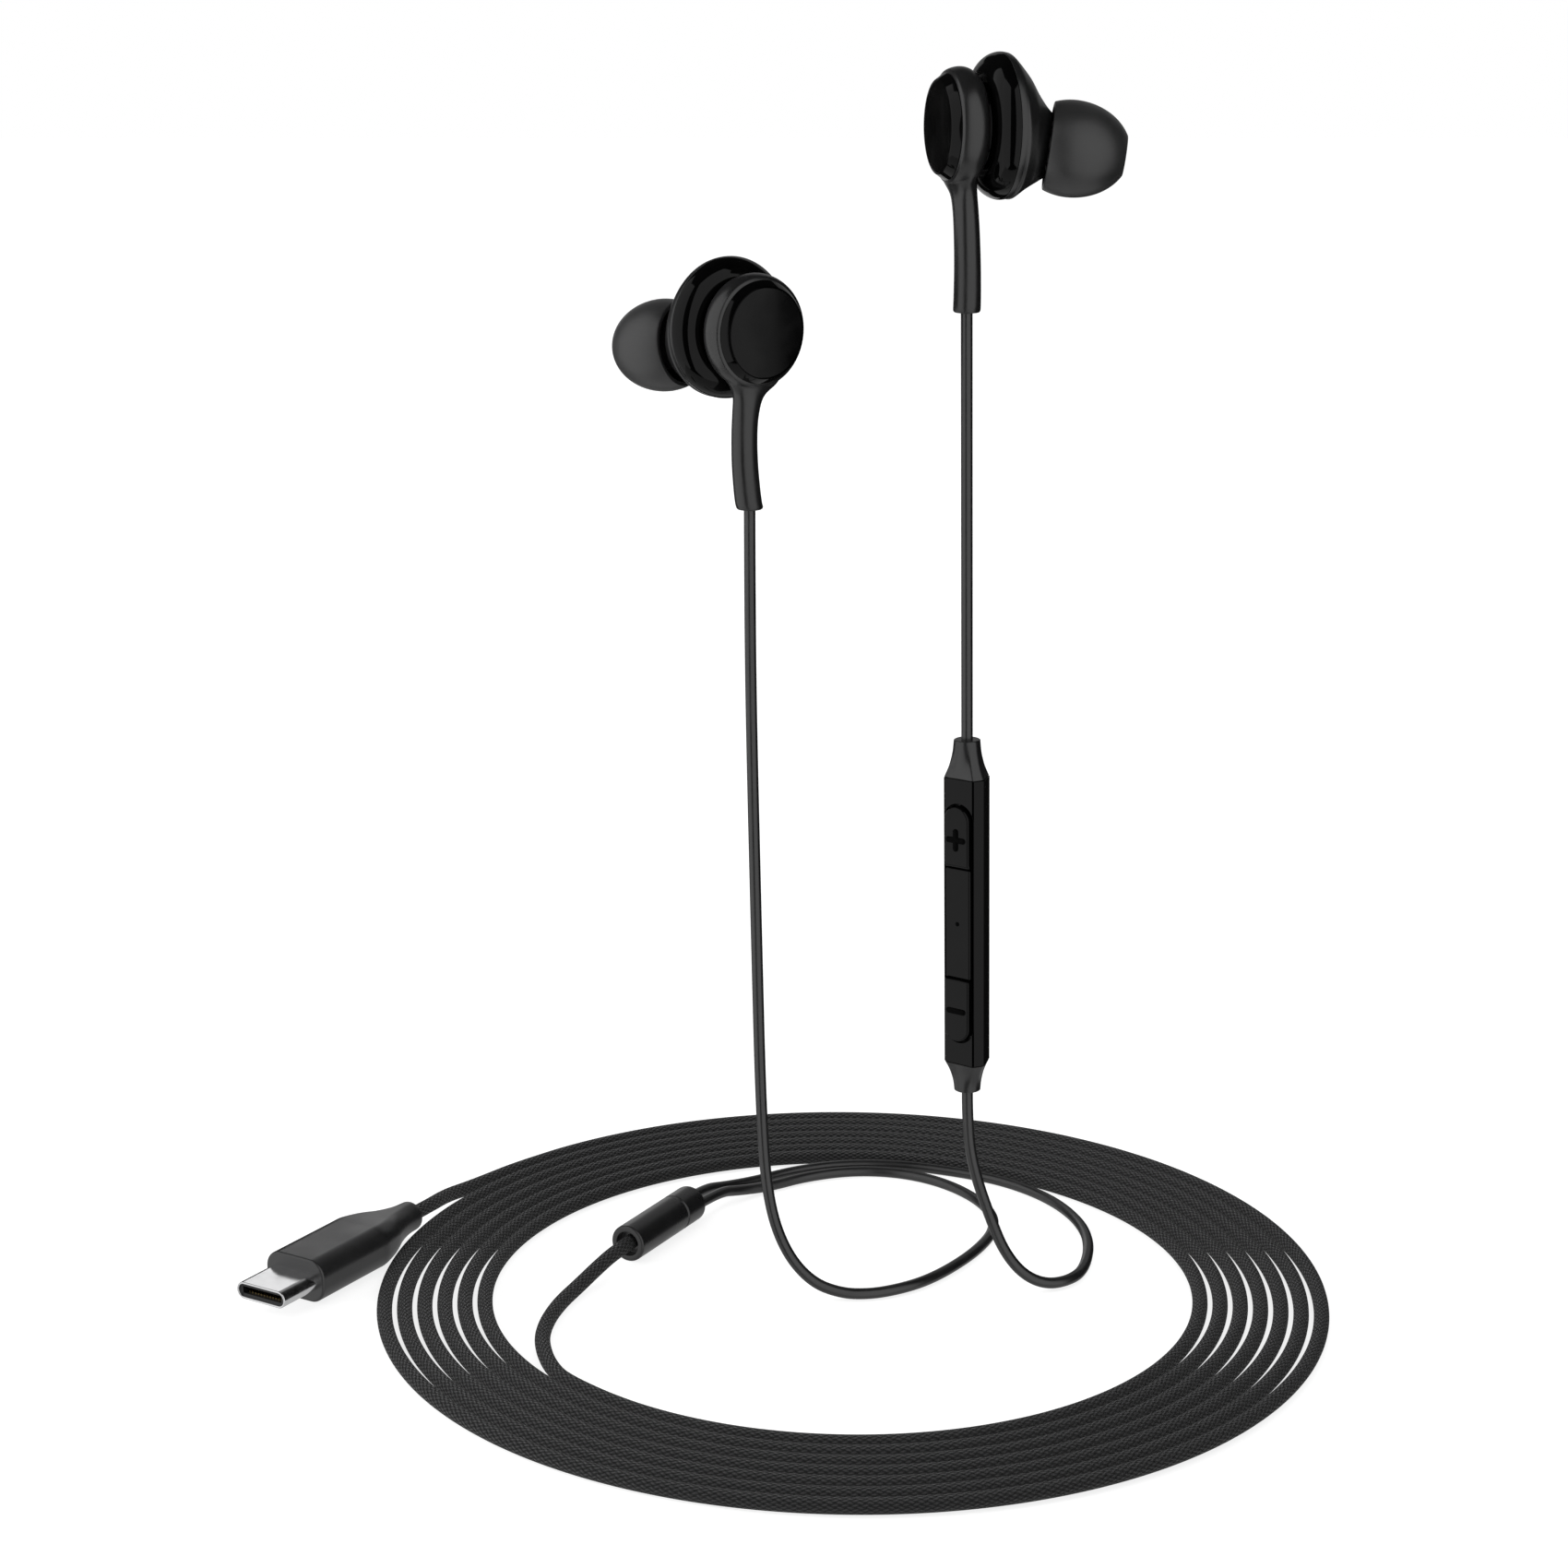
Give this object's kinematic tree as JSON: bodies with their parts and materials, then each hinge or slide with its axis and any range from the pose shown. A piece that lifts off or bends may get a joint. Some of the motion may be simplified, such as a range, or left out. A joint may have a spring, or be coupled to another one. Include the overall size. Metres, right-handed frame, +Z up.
{
  "type": "wired earphones",
  "caption": "Wired in-ear earphones with silicone tips, an in-line button remote, a splitter with a cord slider and a braided cord wound flat to a USB-C plug.",
  "frame": {"origin": "middle of the right ear tip's mouth, where the earphone is held in the ear", "axes": "+X to the right across the two earbuds, towards the right tip's mouth, +Y to the back, +Z up; the surface under the cords is at Z = -0.15121 m"},
  "size_m": [0.146, 0.1283, 0.1638],
  "materials": {
    "gloss_black": "high gloss",
    "matte_black": "fine satin",
    "grip_black": "satin moulded",
    "silicone_black": "smooth silicone",
    "cord_black": "satin rubber",
    "braid_black": "fine braid",
    "mesh_steel": "fine woven mesh",
    "plug_steel": "polished",
    "insulator_black": "moulded",
    "contact_gold": "plated",
    "board_green": "solder mask",
    "switch_steel": "pressed",
    "magnet_nickel": "nickel plated",
    "driver_brass": "pressed",
    "copper_wire": "enamelled wire",
    "diaphragm_film": "thin film",
    "core_plastic": "moulded"
  },
  "bodies": {
    "root": {"right_face_plate": "gloss_black", "right_bezel_ring": "gloss_black", "right_rear_housing": "matte_black", "right_middle_shell": "gloss_black", "right_front_shell": "matte_black", "right_nozzle_mesh": "mesh_steel", "right_driver_frame": "driver_brass", "right_driver_magnet": "magnet_nickel", "right_voice_coil": "copper_wire", "right_diaphragm": "diaphragm_film", "left_face_plate": "gloss_black", "left_bezel_ring": "gloss_black", "left_rear_housing": "matte_black", "left_middle_shell": "gloss_black", "left_front_shell": "matte_black", "left_nozzle_mesh": "mesh_steel", "left_driver_frame": "driver_brass", "left_driver_magnet": "magnet_nickel", "left_voice_coil": "copper_wire", "left_diaphragm": "diaphragm_film", "remote_front_shell": "gloss_black", "remote_rear_shell": "gloss_black", "remote_top_cap": "matte_black", "remote_bottom_cap": "matte_black", "remote_board": "board_green", "remote_dome_switches": "switch_steel", "remote_microphone": "switch_steel", "splitter_body": "matte_black", "splitter_core": "core_plastic", "plug_grip": "grip_black", "plug_shell": "plug_steel", "plug_insulator": "insulator_black", "plug_contacts": "contact_gold", "plug_board": "board_green", "plug_cord_crimp": "driver_brass", "cord_left": "cord_black", "cord_right_upper": "cord_black", "cord_right_lower": "cord_black", "main_cord_coil": "braid_black", "main_cord_lead": "braid_black", "main_cord_tail": "braid_black"},
    "right_tip": {"right_ear_tip": "silicone_black"},
    "left_tip": {"left_ear_tip": "silicone_black"},
    "volume_up": {"volume_up_button": "gloss_black"},
    "play": {"play_button": "gloss_black"},
    "volume_down": {"volume_down_button": "gloss_black"},
    "slider": {"cord_slider": "matte_black"}
  },
  "joints": [
    {"name": "volume_up_press", "type": "slide", "parent": "root", "child": "volume_up", "axis": [0.6156, 0.788, 0.0074], "range_m": [0, 0.0003], "stiffness_N_per_m": 4000},
    {"name": "play_press", "type": "slide", "parent": "root", "child": "play", "axis": [0.6156, 0.788, 0.0074], "range_m": [0, 0.0003], "stiffness_N_per_m": 4000},
    {"name": "volume_down_press", "type": "slide", "parent": "root", "child": "volume_down", "axis": [0.6156, 0.788, 0.0074], "range_m": [0, 0.0003], "stiffness_N_per_m": 4000},
    {"name": "right_tip_pull", "type": "slide", "parent": "root", "child": "right_tip", "axis": [0.9907, -0.0429, -0.1293], "range_m": [0, 0.007]},
    {"name": "left_tip_pull", "type": "slide", "parent": "root", "child": "left_tip", "axis": [-0.817, 0.5619, -0.1293], "range_m": [0, 0.007]},
    {"name": "cord_slider_slide", "type": "slide", "parent": "root", "child": "slider", "axis": [0.4848, 0.8746, 0], "range_m": [0, 0.004]}
  ]
}
